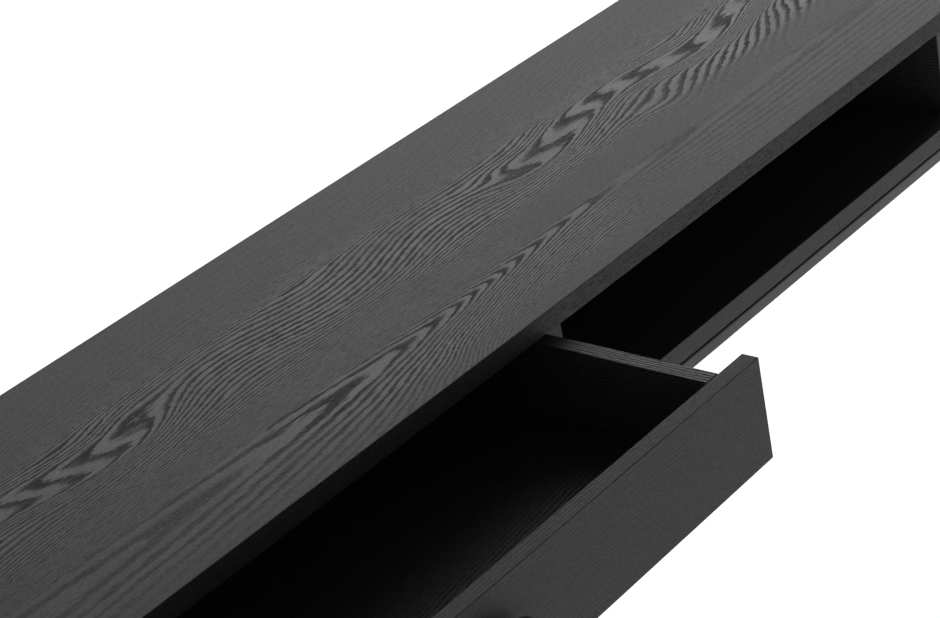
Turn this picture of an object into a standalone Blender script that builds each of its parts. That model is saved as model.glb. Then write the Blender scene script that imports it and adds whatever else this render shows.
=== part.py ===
"""Low console table in stained ash on a steel frame: a drawer on ball-bearing slides and an open niche.

Metres, +Z up. The origin is the centre of the top's upper face, +X runs along the length and the
front faces -Y. The drawer stands pulled out by DRAWER_OUT, and everything on it is parented to an
empty that carries that travel, so its pieces are placed as if the drawer were closed.
"""

import bmesh
import bpy
from math import pi, cos, sin
from mathutils import Vector

# Overall sizes
LENGTH = 1.250
DEPTH = 0.350
HEIGHT = 0.440

# Case boards
BOARD = 0.018          # top, bottom, end panels and divider
BACK_BOARD = 0.012
OPENING = 0.095        # clear height between top and bottom panel
ARRIS = 0.0006         # eased edge of every board
TOUCH = 0.0003         # gap between pieces that touch

# Drawer front
FRONT_BOARD = 0.015
FRONT_GAP = 0.003      # above and below the front
FRONT_STANDOFF = 0.002  # between the closed front and the upright edges behind it

# Drawer box
DRAWER_SIDE = 0.015
DRAWER_BACK = 0.012
DRAWER_FLOOR = 0.006
DRAWER_REAR_GAP = 0.019  # behind the closed drawer, to the back panel
SIDE_RISE = 0.006      # the sides' lower edge above the front's lower edge
FLOOR_RISE = 0.010     # the floor above the sides' lower edge
GROOVE_DEPTH = 0.006
DRAWER_OUT = 0.175     # how far the drawer stands open

# Ball-bearing slides: three channels nested one in the next
SLIDE_SETBACK = 0.003  # from the upright's front edge
SLIDE_SHORT = 0.003    # the slides end in front of the drawer's end
SLIDE_SPACE = 0.0133   # width of the gap that one slide fills
SLIDE_HEIGHT = 0.035
SHEET = 0.0012
FLANGE_PLAY = 0.0010   # a flange's tip to the web in front of it
CAGE_LENGTH = 0.140
CAGE_SHEET = 0.0005
CAGE_PLAY = 0.00035    # between a cage and the channels on either side
CAGE_SHORT = 0.0015    # a cage's tip behind the flanges' tips
CAGE_END = 0.010       # from a cage's end to its first ball
BALL_RADIUS = 0.0012
BALL_PLAY = 0.0001
BALL_COVER = 0.0008    # cage sheet left beyond a ball
BALLS_PER_SIDE = 5

# Steel frame
RAIL = 0.012           # width of the square tubes of the rails
LEG = 0.015            # width of the square tubes of the legs
TUBE_WALL = 0.0015
TUBE_ROUND = 0.0018    # outer corner radius
TUBE_INNER_ROUND = 0.0006
FRAME_SETBACK = 0.0005  # front and back only: at the ends the frame is flush with the case
GASKET = 0.0015        # thickness of the strip between the frame and the case
GASKET_WIDTH = 0.008
GASKET_INSET = 0.0020  # behind the outer faces of the rails
GLIDE_FOOT = 0.004
GLIDE_STEM = 0.014
GLIDE_BEVEL = 0.0012
GLIDE_TAPER = 0.0010   # how much each side of the stem narrows at its tip

# Knob
KNOB_RADIUS = 0.0200
KNOB_NECK = 0.0080
KNOB_BASE = 0.0095     # radius of the thin foot against the front
KNOB_REACH = 0.0220    # from the front to the knob's flat face
KNOB_HEAD = 0.0100     # thickness of its head
KNOB_EDGE = 0.0012     # rounding of the head's edges

# Fasteners
SCREW_SHANK = 0.0019
SCREW_HEAD = 0.0042
SCREW_GRIP = 0.012     # how far a frame screw reaches into the bottom panel
FRAME_SCREW_Y = 0.060
UPRIGHT_SCREW = 0.044
UPRIGHT_SCREW_INSET = 0.055
COUNTERSINK = 0.0024
SLIDE_SHANK = 0.0016
SLIDE_SCREW = 0.012
SLIDE_SCREW_INSET = 0.035
DOWEL_RADIUS = 0.003
DOWEL_LENGTH = 0.020
DOWEL_INSET = 0.016
PAN_RISE = 0.6         # height of a pan head, as a share of its radius
HOLE_LEAD = 0.002      # a pan screw's hole starts this far in front of its seat
KNOB_SHANK = 0.002
KNOB_SKIN = 0.008      # knob left in front of its screw hole

LEFT, RIGHT = -1, 1
SIDE_NAMES = {LEFT: "left", RIGHT: "right"}

# Heights and depths that several pieces share
FRONT_Y = -DEPTH / 2
BACK_Y = DEPTH / 2
OPENING_TOP = -BOARD
OPENING_BOTTOM = OPENING_TOP - OPENING
CASE_BOTTOM = OPENING_BOTTOM - BOARD
UPRIGHT_Y = FRONT_Y + FRONT_BOARD + FRONT_STANDOFF
BACK_BOARD_Y = BACK_Y - BACK_BOARD
FRONT_TOP = OPENING_TOP - FRONT_GAP
FRONT_BOTTOM = OPENING_BOTTOM + FRONT_GAP
FRONT_LEFT = -LENGTH / 2
FRONT_RIGHT = BOARD / 2
FRONT_CENTRE_X = (FRONT_LEFT + FRONT_RIGHT) / 2
FRONT_CENTRE_Z = (FRONT_TOP + FRONT_BOTTOM) / 2
SIDE_BOTTOM = FRONT_BOTTOM + SIDE_RISE
SIDE_Y = FRONT_Y + FRONT_BOARD + TOUCH
DRAWER_END_Y = BACK_BOARD_Y - DRAWER_REAR_GAP
FLOOR_LOW = SIDE_BOTTOM + FLOOR_RISE
FLOOR_HIGH = FLOOR_LOW + DRAWER_FLOOR
BAY_LEFT = -LENGTH / 2 + BOARD
BAY_RIGHT = -BOARD / 2
BOX_OUTER = {LEFT: BAY_LEFT + SLIDE_SPACE, RIGHT: BAY_RIGHT - SLIDE_SPACE}
BOX_INNER = {side: BOX_OUTER[side] - side * DRAWER_SIDE for side in (LEFT, RIGHT)}
SLIDE_Z = (FRONT_TOP + SIDE_BOTTOM) / 2
SLIDE_Y = UPRIGHT_Y + SLIDE_SETBACK
SLIDE_END_Y = DRAWER_END_Y - SLIDE_SHORT
SLIDE_WIDTH = SLIDE_SPACE - 2 * TOUCH
WEB_GAP = CAGE_SHEET + 2 * CAGE_PLAY
BALL_GAP = 2 * BALL_RADIUS + BALL_PLAY
MIDDLE_OFFSET = SHEET + WEB_GAP
MIDDLE_HEIGHT = SLIDE_HEIGHT - 2 * (SHEET + BALL_GAP)
INNER_HEIGHT = MIDDLE_HEIGHT - 2 * (SHEET + BALL_GAP)
OUTER_FLANGE = SLIDE_WIDTH - SHEET - FLANGE_PLAY
MIDDLE_FLANGE = OUTER_FLANGE - MIDDLE_OFFSET
INNER_FLANGE = SLIDE_WIDTH - 2 * MIDDLE_OFFSET
GASKET_TOP = CASE_BOTTOM - TOUCH
GASKET_BOTTOM = GASKET_TOP - GASKET
RAIL_TOP = GASKET_BOTTOM - TOUCH
RAIL_BOTTOM = RAIL_TOP - RAIL
FRAME_X = LENGTH / 2
FRAME_Y = DEPTH / 2 - FRAME_SETBACK


def clear_scene():
    for obj in list(bpy.data.objects):
        bpy.data.objects.remove(obj, do_unlink=True)


def make_material(name, colour, roughness, metallic=0.0):
    material = bpy.data.materials.new(name)
    material.use_nodes = True
    shader = material.node_tree.nodes["Principled BSDF"]
    shader.inputs["Base Color"].default_value = (*colour, 1.0)
    shader.inputs["Roughness"].default_value = roughness
    shader.inputs["Metallic"].default_value = metallic
    material.diffuse_color = (*colour, 1.0)
    return material


def add_carrier(name, travel):
    """An empty at the place that a moving body has at rest, travel in front of its closed place."""
    carrier = bpy.data.objects.new(name, None)
    carrier.location = (0, -travel, 0)
    bpy.context.scene.collection.objects.link(carrier)
    return carrier


def add_object(name, bm, material, place=(0, 0, 0), carrier=None, smooth=False):
    mesh = bpy.data.meshes.new(name)
    bmesh.ops.recalc_face_normals(bm, faces=bm.faces)
    bm.to_mesh(mesh)
    bm.free()
    if smooth:
        mesh.shade_smooth()
        mesh.set_sharp_from_angle(angle=pi / 6)
    obj = bpy.data.objects.new(name, mesh)
    obj.location = place
    obj.parent = carrier
    if material:
        mesh.materials.append(material)
    bpy.context.scene.collection.objects.link(obj)
    return obj


def hide_cutter(cutter):
    cutter.hide_render = True
    cutter.display_type = "WIRE"
    return cutter


def cut(target, cutter):
    modifier = target.modifiers.new("cut_" + cutter.name, "BOOLEAN")
    modifier.operation = "DIFFERENCE"
    modifier.solver = "EXACT"
    modifier.object = cutter


def ease_edges(obj, width=ARRIS):
    modifier = obj.modifiers.new("eased_edges", "BEVEL")
    modifier.width = width
    modifier.segments = 2
    modifier.limit_method = "ANGLE"
    return obj


def box_mesh(size):
    bm = bmesh.new()
    bmesh.ops.create_cube(bm, size=1.0)
    bmesh.ops.scale(bm, vec=size, verts=bm.verts)
    return bm


def add_board(name, low, high, material, carrier=None):
    """A flat board between two corners, with eased edges."""
    low = Vector(low)
    high = Vector(high)
    return ease_edges(add_object(name, box_mesh(high - low), material, (low + high) / 2, carrier))


def add_box_cutter(name, low, high, carrier=None):
    low = Vector(low)
    high = Vector(high)
    return hide_cutter(add_object(name, box_mesh(high - low), None, (low + high) / 2, carrier))


def extruded_mesh(outline, start, end):
    """A closed outline of (x, z) points carried along Y from start to end."""
    bm = bmesh.new()
    face = bm.faces.new([bm.verts.new((x, start, z)) for x, z in outline])
    grown = bmesh.ops.extrude_face_region(bm, geom=[face])
    moved = [item for item in grown["geom"] if isinstance(item, bmesh.types.BMVert)]
    bmesh.ops.translate(bm, vec=(0, end - start, 0), verts=moved)
    return bm


def turned_mesh(profile, segments):
    """A profile of (radius, height) points, from one end of the axis to the other, spun about Z."""
    bm = bmesh.new()
    points = [bm.verts.new((radius, 0, height)) for radius, height in profile]
    edges = [bm.edges.new(pair) for pair in zip(points, points[1:])]
    bmesh.ops.spin(
        bm, geom=points + edges, cent=(0, 0, 0), axis=(0, 0, 1), angle=2 * pi, steps=segments, use_merge=True
    )
    bmesh.ops.remove_doubles(bm, verts=bm.verts, dist=1e-6)
    return bm


def add_turned(name, profile, material, place, direction, carrier=None, segments=12):
    """A turned piece whose local +Z points along direction."""
    obj = add_object(name, turned_mesh(profile, segments), material, place, carrier, smooth=True)
    obj.rotation_mode = "QUATERNION"
    obj.rotation_quaternion = Vector((0, 0, 1)).rotation_difference(Vector(direction))
    return obj


def countersunk_profile(head, sink, shank, length, spare=0.0):
    """Height 0 is the head's flat top, and the tip is at -length. spare grows it for a clearance hole."""
    return [
        (0, spare),
        (head + spare, spare),
        (head + spare, -0.0002),
        (shank + spare, -sink),
        (shank + spare, -length + 2 * shank),
        (0, -length - spare),
    ]


def add_countersunk(name, place, direction, sizes, targets, carrier=None):
    """A flush screw, and its clearance hole in every piece that it passes through."""
    into = -Vector(direction)
    screw = add_turned(name, countersunk_profile(*sizes), steel, place, into, carrier)
    hole = add_turned("hole_" + name, countersunk_profile(*sizes, TOUCH), None, place, into, carrier)
    hide_cutter(hole)
    for target in targets:
        cut(target, hole)
    return screw


def add_round_cutter(name, place, direction, radius, length, carrier=None, segments=16):
    """A cylinder from place along direction."""
    profile = [(0, 0), (radius, 0), (radius, length), (0, length)]
    return hide_cutter(add_turned(name, profile, None, place, direction, carrier, segments))


def add_pan_screw(name, place, direction, head, shank, length, targets, material, carrier=None):
    """A round-headed screw: place is under its head, and direction points from head to tip."""
    rise = head * PAN_RISE
    profile = [(0, -rise), (head * 0.62, -rise * 0.86), (head * 0.93, -rise * 0.45), (head, 0)]
    profile += [(shank, 0), (shank, length - shank), (shank * 0.4, length), (0, length)]
    screw = add_turned(name, profile, material, place, direction, carrier)
    hole_start = Vector(place) - Vector(direction).normalized() * HOLE_LEAD
    hole_length = HOLE_LEAD + length + TOUCH
    hole = add_round_cutter("hole_" + name, hole_start, direction, shank + TOUCH, hole_length, carrier, 12)
    for target in targets:
        cut(target, hole)
    return screw


def add_dowel(name, place, direction, targets, carrier=None):
    """A glued dowel centred on a joint, in a clearance hole on both sides of it."""
    start = Vector(place) - Vector(direction) * DOWEL_LENGTH / 2
    end = DOWEL_LENGTH
    chamfer = DOWEL_RADIUS * 0.3
    profile = [(0, 0), (DOWEL_RADIUS - chamfer, 0), (DOWEL_RADIUS, chamfer)]
    profile += [(DOWEL_RADIUS, end - chamfer), (DOWEL_RADIUS - chamfer, end), (0, end)]
    add_turned(name, profile, beech, start, direction, carrier)
    hole_start = start - Vector(direction) * TOUCH
    hole = add_round_cutter(
        "hole_" + name, hole_start, direction, DOWEL_RADIUS + TOUCH, DOWEL_LENGTH + 2 * TOUCH, carrier, 12
    )
    for target in targets:
        cut(target, hole)


def rounded_square(width, radius, steps=3):
    """Corner points of a square with rounded corners, counter-clockwise."""
    points = []
    half = width / 2 - radius
    for turn, (sx, sy) in enumerate(((1, 1), (-1, 1), (-1, -1), (1, -1))):
        for step in range(steps + 1):
            angle = (turn + step / steps) * pi / 2
            points.append((sx * half + radius * cos(angle), sy * half + radius * sin(angle)))
    return points


def add_tube(name, start, end, width):
    """A square steel tube, open at both ends."""
    start = Vector(start)
    end = Vector(end)
    run = end - start
    bm = bmesh.new()
    loops = []
    outlines = (rounded_square(width, TUBE_ROUND), rounded_square(width - 2 * TUBE_WALL, TUBE_INNER_ROUND))
    for outline in outlines:
        verts = [bm.verts.new((x, y, 0)) for x, y in outline]
        loops.append([bm.edges.new((a, b)) for a, b in zip(verts, verts[1:] + verts[:1])])
    ring = bmesh.ops.bridge_loops(bm, edges=loops[0] + loops[1])["faces"]
    grown = bmesh.ops.extrude_face_region(bm, geom=ring)
    moved = [item for item in grown["geom"] if isinstance(item, bmesh.types.BMVert)]
    bmesh.ops.translate(bm, vec=(0, 0, run.length), verts=moved)
    obj = add_object(name, bm, black_steel, start, smooth=True)
    obj.rotation_mode = "QUATERNION"
    obj.rotation_quaternion = Vector((0, 0, 1)).rotation_difference(run)
    return obj


def channel_outline(back, height, flange, opens):
    """A C-section in (x, z): its web's back face is at x = back, and its flanges point to opens (+1 or -1)."""
    tip = back + opens * flange
    web = back + opens * SHEET
    half = height / 2
    inner = half - SHEET
    lower = [(back, -half), (tip, -half), (tip, -inner), (web, -inner)]
    return lower + [(x, -z) for x, z in reversed(lower)]


def make_case():
    """Top, bottom, two ends, the divider and the back: the drawer's front covers the left uprights."""
    boards = {}
    half = LENGTH / 2
    boards["top_panel"] = add_board("top_panel", (-half, FRONT_Y, -BOARD), (half, BACK_Y, 0), stained_ash)
    boards["bottom_panel"] = add_board(
        "bottom_panel", (-half, FRONT_Y, CASE_BOTTOM), (half, BACK_Y, OPENING_BOTTOM), stained_ash
    )
    low = OPENING_BOTTOM + TOUCH
    high = OPENING_TOP - TOUCH
    uprights = {"left_end_panel": -half, "centre_divider": -BOARD / 2, "right_end_panel": half - BOARD}
    for name, x in uprights.items():
        end_y = BACK_BOARD_Y - TOUCH if name == "centre_divider" else BACK_Y
        boards[name] = add_board(name, (x, UPRIGHT_Y, low), (x + BOARD, end_y, high), stained_ash)
    inside = half - BOARD - TOUCH
    boards["back_panel"] = add_board(
        "back_panel", (-inside, BACK_BOARD_Y, low), (inside, BACK_Y, high), stained_ash
    )
    # Two screws from below hold each upright
    sizes = (2 * SCREW_SHANK, COUNTERSINK, SCREW_SHANK, UPRIGHT_SCREW)
    screw_places = {"front": UPRIGHT_Y + UPRIGHT_SCREW_INSET, "back": BACK_BOARD_Y - UPRIGHT_SCREW_INSET}
    for name, x in uprights.items():
        for place, y in screw_places.items():
            upright = name.replace("_panel", "").replace("_divider", "")
            add_countersunk(
                f"upright_screw_{upright}_{place}",
                (x + BOARD / 2, y, CASE_BOTTOM),
                (0, 0, 1),
                sizes,
                [boards["bottom_panel"], boards[name]],
            )
    return boards


def make_frame(boards):
    """Four legs joined by rails under the case, with a glide in each leg and a gasket on the rails."""
    leg_x = FRAME_X - LEG / 2
    leg_y = FRAME_Y - LEG / 2
    rail_x = FRAME_X - RAIL / 2
    rail_y = FRAME_Y - RAIL / 2
    rail_z = RAIL_TOP - RAIL / 2
    foot_z = -HEIGHT + GLIDE_FOOT
    between_x = FRAME_X - LEG - TOUCH
    between_y = FRAME_Y - LEG - TOUCH
    gasket = make_gasket()
    for name, y in (("front_rail", -rail_y), ("back_rail", rail_y)):
        add_tube(name, (-between_x, y, rail_z), (between_x, y, rail_z), RAIL)
    for side in (LEFT, RIGHT):
        word = SIDE_NAMES[side]
        x = side * rail_x
        rail = add_tube(f"{word}_rail", (x, -between_y, rail_z), (x, between_y, rail_z), RAIL)
        for place, y in (("front", -FRAME_SCREW_Y), ("back", FRAME_SCREW_Y)):
            add_pan_screw(
                f"frame_screw_{word}_{place}",
                (x, y, RAIL_BOTTOM - TOUCH),
                (0, 0, 1),
                SCREW_HEAD,
                SCREW_SHANK,
                RAIL + GASKET + SCREW_GRIP,
                [rail, gasket, boards["bottom_panel"]],
                steel,
            )
        x = side * leg_x
        for place, y in (("front", -leg_y), ("back", leg_y)):
            add_tube(f"leg_{place}_{word}", (x, y, foot_z + TOUCH), (x, y, RAIL_TOP), LEG)
            add_glide(f"glide_{place}_{word}", (x, y))


def make_gasket():
    """A thin rubber strip that lies on the four rails as one closed rectangle."""
    outer_x = FRAME_X - GASKET_INSET
    outer_y = FRAME_Y - GASKET_INSET
    inner_x = outer_x - GASKET_WIDTH
    inner_y = outer_y - GASKET_WIDTH
    middle_z = (GASKET_TOP + GASKET_BOTTOM) / 2
    strip = add_object("frame_gasket", box_mesh((2 * outer_x, 2 * outer_y, GASKET)), rubber, (0, 0, middle_z))
    window = add_box_cutter(
        "gasket_window", (-inner_x, -inner_y, GASKET_BOTTOM - GASKET), (inner_x, inner_y, GASKET_TOP + GASKET)
    )
    cut(strip, window)
    return strip


def add_glide(name, at):
    """A plastic foot with a stem that fills the leg's end."""
    foot = LEG / 2
    stem = foot - TUBE_WALL - TOUCH
    sections = (
        (foot - GLIDE_BEVEL, 0, TUBE_ROUND),
        (foot, GLIDE_BEVEL, TUBE_ROUND),
        (foot, GLIDE_FOOT, TUBE_ROUND),
        (stem, GLIDE_FOOT, TUBE_INNER_ROUND),
        (stem, GLIDE_FOOT + GLIDE_STEM - 2 * GLIDE_TAPER, TUBE_INNER_ROUND),
        (stem - GLIDE_TAPER, GLIDE_FOOT + GLIDE_STEM, TUBE_INNER_ROUND),
    )
    bm = bmesh.new()
    loops = []
    for half, z, radius in sections:
        loops.append([bm.verts.new((x, y, z)) for x, y in rounded_square(2 * half, radius)])
    for lower, upper in zip(loops, loops[1:]):
        for index in range(len(lower)):
            after = (index + 1) % len(lower)
            bm.faces.new((lower[index], lower[after], upper[after], upper[index]))
    bm.faces.new(loops[0])
    bm.faces.new(loops[-1])
    return add_object(name, bm, black_plastic, (*at, -HEIGHT))


def make_drawer(carrier):
    """The box of the drawer: a floor in grooves between front, sides and back."""
    parts = {}
    parts["drawer_front"] = add_board(
        "drawer_front",
        (FRONT_LEFT, FRONT_Y, FRONT_BOTTOM),
        (FRONT_RIGHT, FRONT_Y + FRONT_BOARD, FRONT_TOP),
        stained_ash,
        carrier,
    )
    for side in (LEFT, RIGHT):
        outer = BOX_OUTER[side]
        inner = BOX_INNER[side]
        bottom = inner + side * GROOVE_DEPTH
        groove_low = FLOOR_LOW - TOUCH
        groove_high = FLOOR_HIGH + TOUCH
        outline = [(outer, SIDE_BOTTOM), (inner, SIDE_BOTTOM), (inner, groove_low), (bottom, groove_low)]
        outline += [(bottom, groove_high), (inner, groove_high), (inner, FRONT_TOP), (outer, FRONT_TOP)]
        name = f"drawer_{SIDE_NAMES[side]}_side"
        bm = extruded_mesh(outline, SIDE_Y, DRAWER_END_Y)
        parts[name] = ease_edges(add_object(name, bm, stained_ash, (0, 0, 0), carrier))
    back_low = FLOOR_HIGH + TOUCH
    back_y = DRAWER_END_Y - DRAWER_BACK
    parts["drawer_back"] = add_board(
        "drawer_back",
        (BOX_INNER[LEFT] + TOUCH, back_y, back_low),
        (BOX_INNER[RIGHT] - TOUCH, DRAWER_END_Y, FRONT_TOP - FRONT_GAP),
        stained_ash,
        carrier,
    )
    play = GROOVE_DEPTH - 2 * TOUCH
    floor_front = FRONT_Y + FRONT_BOARD - play
    parts["drawer_floor"] = add_board(
        "drawer_floor",
        (BOX_INNER[LEFT] - play, floor_front, FLOOR_LOW),
        (BOX_INNER[RIGHT] + play, DRAWER_END_Y, FLOOR_HIGH),
        stained_ash,
        carrier,
    )
    groove = add_box_cutter(
        "groove_in_front",
        (BOX_INNER[LEFT] - GROOVE_DEPTH, FRONT_Y + FRONT_BOARD - GROOVE_DEPTH, FLOOR_LOW - TOUCH),
        (BOX_INNER[RIGHT] + GROOVE_DEPTH, FRONT_Y + FRONT_BOARD + GROOVE_DEPTH, FLOOR_HIGH + TOUCH),
        carrier,
    )
    cut(parts["drawer_front"], groove)
    for side in (LEFT, RIGHT):
        word = SIDE_NAMES[side]
        side_board = parts[f"drawer_{word}_side"]
        x = BOX_OUTER[side] - side * DRAWER_SIDE / 2
        for place, z in (("upper", FRONT_TOP - DOWEL_INSET), ("lower", FLOOR_HIGH + DOWEL_INSET)):
            add_dowel(
                f"front_dowel_{place}_{word}",
                (x, FRONT_Y + FRONT_BOARD, z),
                (0, 1, 0),
                [parts["drawer_front"], side_board],
                carrier,
            )
        middle_z = (back_low + FRONT_TOP) / 2
        add_dowel(
            f"back_dowel_{word}",
            (BOX_INNER[side], DRAWER_END_Y - DRAWER_BACK / 2, middle_z),
            (side, 0, 0),
            [parts["drawer_back"], side_board],
            carrier,
        )
    return parts


def rounded_edge(radius, height, rounding, start, steps=3):
    """Profile points of a quarter round that turns from the angle start to start + 90 degrees."""
    angles = [start + step / steps * pi / 2 for step in range(steps + 1)]
    return [(radius + rounding * cos(angle), height + rounding * sin(angle)) for angle in angles]


def make_knob(carrier, front):
    """A turned knob in the middle of the front, held by a screw from inside the drawer."""
    root = (FRONT_CENTRE_X, FRONT_Y - TOUCH, FRONT_CENTRE_Z)
    hole = KNOB_SHANK + TOUCH
    depth = KNOB_REACH - KNOB_SKIN
    foot = KNOB_BASE - KNOB_NECK
    behind = KNOB_REACH - KNOB_HEAD
    profile = [(hole, 0), (KNOB_BASE, 0), (KNOB_BASE, foot / 2), (KNOB_NECK, foot)]
    profile += [(KNOB_NECK, behind - foot), (KNOB_NECK + foot, behind)]
    profile += rounded_edge(KNOB_RADIUS - KNOB_EDGE, behind + KNOB_EDGE, KNOB_EDGE, -pi / 2)
    profile += rounded_edge(KNOB_RADIUS - KNOB_EDGE, KNOB_REACH - KNOB_EDGE, KNOB_EDGE, 0)
    profile += [(0, KNOB_REACH)]
    screw_hole = [(0, depth), (hole, depth)]
    add_turned("drawer_knob", screw_hole + profile, black_steel, root, (0, -1, 0), carrier, 32)
    shank_length = FRONT_BOARD + depth
    add_pan_screw(
        "knob_screw",
        (FRONT_CENTRE_X, FRONT_Y + FRONT_BOARD + TOUCH, FRONT_CENTRE_Z),
        (0, -1, 0),
        SCREW_HEAD,
        KNOB_SHANK,
        shank_length,
        [front],
        steel,
        carrier,
    )


def make_slides(boards, drawer_parts, carriers):
    """Each slide nests three channels, with a cage of balls between each two of them."""
    for side in (LEFT, RIGHT):
        word = SIDE_NAMES[side]
        upright = boards["left_end_panel" if side == LEFT else "centre_divider"]
        wall = BAY_LEFT if side == LEFT else BAY_RIGHT
        opens = -side
        outer_back = wall + opens * TOUCH
        inner_back = BOX_OUTER[side] - opens * TOUCH
        middle_back = outer_back + opens * MIDDLE_OFFSET
        outer = add_channel(f"slide_outer_{word}", outer_back, SLIDE_HEIGHT, OUTER_FLANGE, opens)
        middle_carrier = carriers["middle"]
        add_channel(f"slide_middle_{word}", middle_back, MIDDLE_HEIGHT, MIDDLE_FLANGE, opens, middle_carrier)
        drawer_carrier = carriers["drawer"]
        inner = add_channel(
            f"slide_inner_{word}", inner_back, INNER_HEIGHT, INNER_FLANGE, -opens, drawer_carrier
        )
        # A cage runs half-way between the flanges of its two channels
        tip = outer_back + opens * (OUTER_FLANGE - CAGE_SHORT)
        back = outer_back + opens * (SHEET + CAGE_PLAY)
        row = (SLIDE_HEIGHT / 2 - SHEET + MIDDLE_HEIGHT / 2) / 2
        add_cage(f"ball_cage_outer_{word}", back, tip, row, opens, carriers["outer_cage"])
        back = middle_back + opens * (SHEET + CAGE_PLAY)
        row = (MIDDLE_HEIGHT / 2 - SHEET + INNER_HEIGHT / 2) / 2
        add_cage(f"ball_cage_inner_{word}", back, tip, row, opens, carriers["inner_cage"])
        sizes = (1.75 * SLIDE_SHANK, SHEET, SLIDE_SHANK, SLIDE_SCREW)
        screw_places = {"front": SLIDE_Y + SLIDE_SCREW_INSET, "back": SLIDE_END_Y - SLIDE_SCREW_INSET}
        for place, y in screw_places.items():
            add_countersunk(
                f"slide_screw_{place}_{word}",
                (outer_back + opens * SHEET, y, SLIDE_Z),
                (-opens, 0, 0),
                sizes,
                [outer, upright],
            )
            add_countersunk(
                f"drawer_screw_{place}_{word}",
                (inner_back - opens * SHEET, y, SLIDE_Z),
                (opens, 0, 0),
                sizes,
                [inner, drawer_parts[f"drawer_{word}_side"]],
                drawer_carrier,
            )


def add_channel(name, back, height, flange, opens, carrier=None):
    outline = [(x, z + SLIDE_Z) for x, z in channel_outline(back, height, flange, opens)]
    bm = extruded_mesh(outline, SLIDE_Y, SLIDE_END_Y)
    return add_object(name, bm, zinc_steel, (0, 0, 0), carrier)


def add_cage(name, back, tip, row, opens, carrier):
    """A thin C-shaped strip that holds two rows of balls, one above and one below."""
    start = (SLIDE_Y + SLIDE_END_Y - CAGE_LENGTH) / 2
    web = back + opens * CAGE_SHEET
    high = row + CAGE_SHEET / 2
    low = row - CAGE_SHEET / 2
    outline = [(back, -high), (tip, -high), (tip, -low), (web, -low)]
    outline += [(x, -z) for x, z in reversed(outline)]
    outline = [(x, z + SLIDE_Z) for x, z in outline]
    cage = add_object(name, extruded_mesh(outline, start, start + CAGE_LENGTH), zinc_steel, (0, 0, 0), carrier)
    bm = bmesh.new()
    spacing = (CAGE_LENGTH - 2 * CAGE_END) / (BALLS_PER_SIDE - 1)
    ball_x = tip - opens * (BALL_RADIUS + BALL_COVER)
    for side in (-1, 1):
        for index in range(BALLS_PER_SIDE):
            ball = bmesh.ops.create_icosphere(bm, subdivisions=1, radius=BALL_RADIUS)
            centre = (ball_x, start + CAGE_END + index * spacing, SLIDE_Z + side * row)
            bmesh.ops.translate(bm, vec=centre, verts=ball["verts"])
    balls = hide_cutter(add_object("balls_" + name, bm, None, (0, 0, 0), carrier))
    modifier = cage.modifiers.new("balls", "BOOLEAN")
    modifier.operation = "UNION"
    modifier.solver = "EXACT"
    modifier.object = balls


clear_scene()
stained_ash = make_material("stained_ash", (0.020, 0.020, 0.021), 0.50)
black_steel = make_material("black_steel", (0.014, 0.014, 0.015), 0.42, 0.0)
black_plastic = make_material("black_plastic", (0.012, 0.012, 0.012), 0.55)
rubber = make_material("rubber", (0.010, 0.010, 0.010), 0.80)
zinc_steel = make_material("zinc_steel", (0.55, 0.56, 0.58), 0.34, 1.0)
steel = make_material("steel", (0.45, 0.45, 0.46), 0.30, 1.0)
beech = make_material("beech", (0.52, 0.36, 0.20), 0.70)

carriers = {
    "drawer": add_carrier("drawer_travel", DRAWER_OUT),
    "middle": add_carrier("middle_travel", DRAWER_OUT / 2),
    "outer_cage": add_carrier("outer_cage_travel", DRAWER_OUT / 4),
    "inner_cage": add_carrier("inner_cage_travel", DRAWER_OUT * 3 / 4),
}
case_boards = make_case()
make_frame(case_boards)
drawer_parts = make_drawer(carriers["drawer"])
make_knob(carriers["drawer"], drawer_parts["drawer_front"])
make_slides(case_boards, drawer_parts, carriers)
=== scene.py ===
from math import cos, pi, radians, sin

import bpy
import numpy as np
from mathutils import Matrix, Vector


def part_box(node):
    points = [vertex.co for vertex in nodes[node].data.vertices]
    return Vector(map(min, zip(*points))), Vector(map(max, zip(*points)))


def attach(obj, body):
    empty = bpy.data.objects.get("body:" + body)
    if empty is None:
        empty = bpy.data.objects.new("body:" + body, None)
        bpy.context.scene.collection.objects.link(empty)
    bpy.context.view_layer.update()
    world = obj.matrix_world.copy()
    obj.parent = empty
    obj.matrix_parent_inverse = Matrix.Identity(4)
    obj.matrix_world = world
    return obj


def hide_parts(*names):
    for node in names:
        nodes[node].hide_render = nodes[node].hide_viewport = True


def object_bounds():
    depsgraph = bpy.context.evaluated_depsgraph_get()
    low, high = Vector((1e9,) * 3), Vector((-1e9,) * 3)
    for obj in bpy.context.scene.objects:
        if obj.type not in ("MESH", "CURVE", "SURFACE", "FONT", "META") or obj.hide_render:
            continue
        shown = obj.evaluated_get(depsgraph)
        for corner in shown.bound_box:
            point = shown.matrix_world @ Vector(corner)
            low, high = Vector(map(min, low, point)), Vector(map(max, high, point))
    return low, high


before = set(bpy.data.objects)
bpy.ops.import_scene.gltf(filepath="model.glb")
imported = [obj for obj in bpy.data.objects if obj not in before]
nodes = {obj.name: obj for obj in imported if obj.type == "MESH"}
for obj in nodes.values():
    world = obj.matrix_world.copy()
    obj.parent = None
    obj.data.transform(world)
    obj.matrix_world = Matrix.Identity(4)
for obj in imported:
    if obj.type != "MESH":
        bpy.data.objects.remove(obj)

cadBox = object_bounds()


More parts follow.
